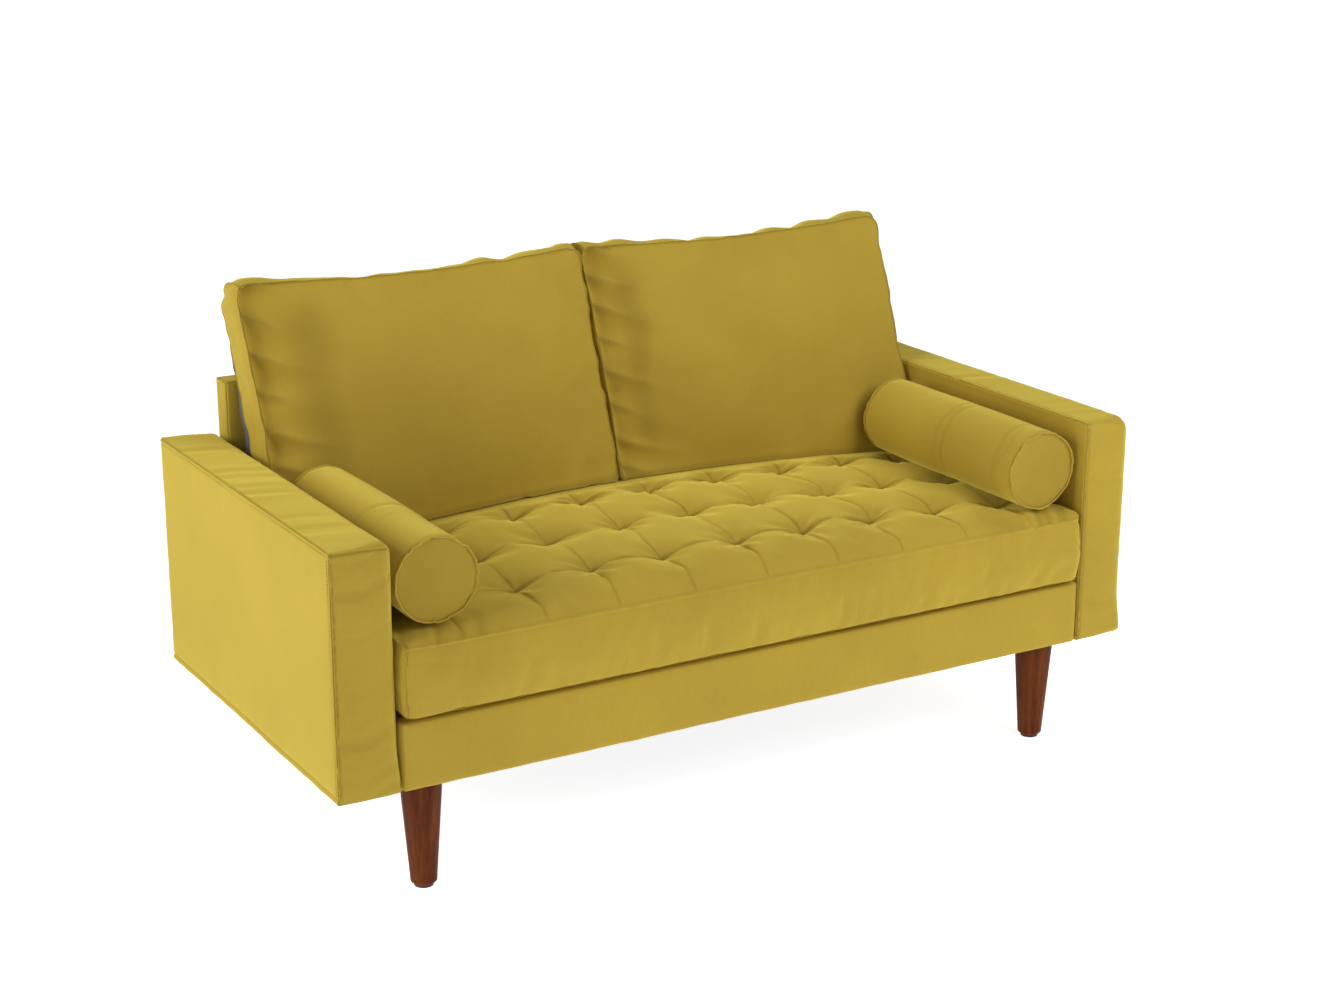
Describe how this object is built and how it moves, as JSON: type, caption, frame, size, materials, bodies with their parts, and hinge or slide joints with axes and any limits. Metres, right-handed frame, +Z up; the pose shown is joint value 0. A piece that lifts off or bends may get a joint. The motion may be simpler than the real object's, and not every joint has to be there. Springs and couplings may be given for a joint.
{
  "type": "two-seat sofa",
  "caption": "Upholstered loveseat with a tufted seat cushion, leaning back cushions, round bolsters, square arms and tapered wooden legs.",
  "frame": {"origin": "on the floor under the middle of the sofa's outer box", "axes": "+Z up, the sitter faces -Y, +X is the side of the right arm for someone looking at the front"},
  "size_m": [1.48, 0.724, 0.832],
  "materials": {
    "mustard_velvet": "matte",
    "grey_lining": "matte",
    "leg_wood": "satin",
    "frame_timber": "matte",
    "hardboard": "matte",
    "foam": "matte",
    "fibre_fill": "matte",
    "nonwoven_cloth": "matte",
    "twine": "matte",
    "zinc_steel": "satin",
    "spring_steel": "satin",
    "glide_plastic": "matte"
  },
  "bodies": {
    "frame": {"arm_bolts": "zinc_steel", "back_board": "hardboard", "back_bottom_rail": "frame_timber", "back_cover": "mustard_velvet", "back_foam": "foam", "back_left_leg": "leg_wood", "back_left_post": "frame_timber", "back_middle_post": "frame_timber", "back_rear_panel": "mustard_velvet", "back_right_leg": "leg_wood", "back_right_post": "frame_timber", "back_top_rail": "frame_timber", "corner_blocks": "frame_timber", "deck_cloth": "nonwoven_cloth", "deck_pad": "foam", "dust_cover": "nonwoven_cloth", "foot_glides": "glide_plastic", "front_left_leg": "leg_wood", "front_rail": "frame_timber", "front_rail_cover": "mustard_velvet", "front_rail_foam": "foam", "front_right_leg": "leg_wood", "hanger_bolts": "zinc_steel", "left_arm_bottom_rail": "frame_timber", "left_arm_cover": "mustard_velvet", "left_arm_foam": "foam", "left_arm_front_post": "frame_timber", "left_arm_inner_board": "hardboard", "left_arm_outer_board": "hardboard", "left_arm_rear_post": "frame_timber", "left_arm_top_rail": "frame_timber", "left_side_rail": "frame_timber", "leg_tee_nuts": "zinc_steel", "rear_rail": "frame_timber", "right_arm_bottom_rail": "frame_timber", "right_arm_cover": "mustard_velvet", "right_arm_foam": "foam", "right_arm_front_post": "frame_timber", "right_arm_inner_board": "hardboard", "right_arm_outer_board": "hardboard", "right_arm_rear_post": "frame_timber", "right_arm_top_rail": "frame_timber", "right_side_rail": "frame_timber", "seat_springs": "spring_steel", "spring_clips": "zinc_steel"},
    "seat_cushion": {"seat_cushion_cover": "mustard_velvet", "seat_cushion_foam": "foam", "seat_tuft_ties": "twine"},
    "left_back_cushion": {"left_back_cushion_cover": "mustard_velvet", "left_back_cushion_fill": "fibre_fill", "left_back_cushion_lining": "grey_lining"},
    "right_back_cushion": {"right_back_cushion_cover": "mustard_velvet", "right_back_cushion_fill": "fibre_fill", "right_back_cushion_lining": "grey_lining"},
    "left_bolster": {"left_bolster_cover": "mustard_velvet", "left_bolster_end_caps": "mustard_velvet", "left_bolster_fill": "fibre_fill"},
    "right_bolster": {"right_bolster_cover": "mustard_velvet", "right_bolster_end_caps": "mustard_velvet", "right_bolster_fill": "fibre_fill"}
  },
  "joints": [
    {"name": "seat_cushion_lift", "type": "slide", "parent": "frame", "child": "seat_cushion", "axis": [0, 0, 1], "range_m": [0, 0.32]},
    {"name": "left_back_cushion_lift", "type": "slide", "parent": "seat_cushion", "child": "left_back_cushion", "axis": [0, 0, 1], "range_m": [0, 0.26]},
    {"name": "right_back_cushion_lift", "type": "slide", "parent": "seat_cushion", "child": "right_back_cushion", "axis": [0, 0, 1], "range_m": [0, 0.26]},
    {"name": "left_bolster_lift", "type": "slide", "parent": "seat_cushion", "child": "left_bolster", "axis": [0, 0, 1], "range_m": [0, 0.2]},
    {"name": "right_bolster_lift", "type": "slide", "parent": "seat_cushion", "child": "right_bolster", "axis": [0, 0, 1], "range_m": [0, 0.2]}
  ]
}
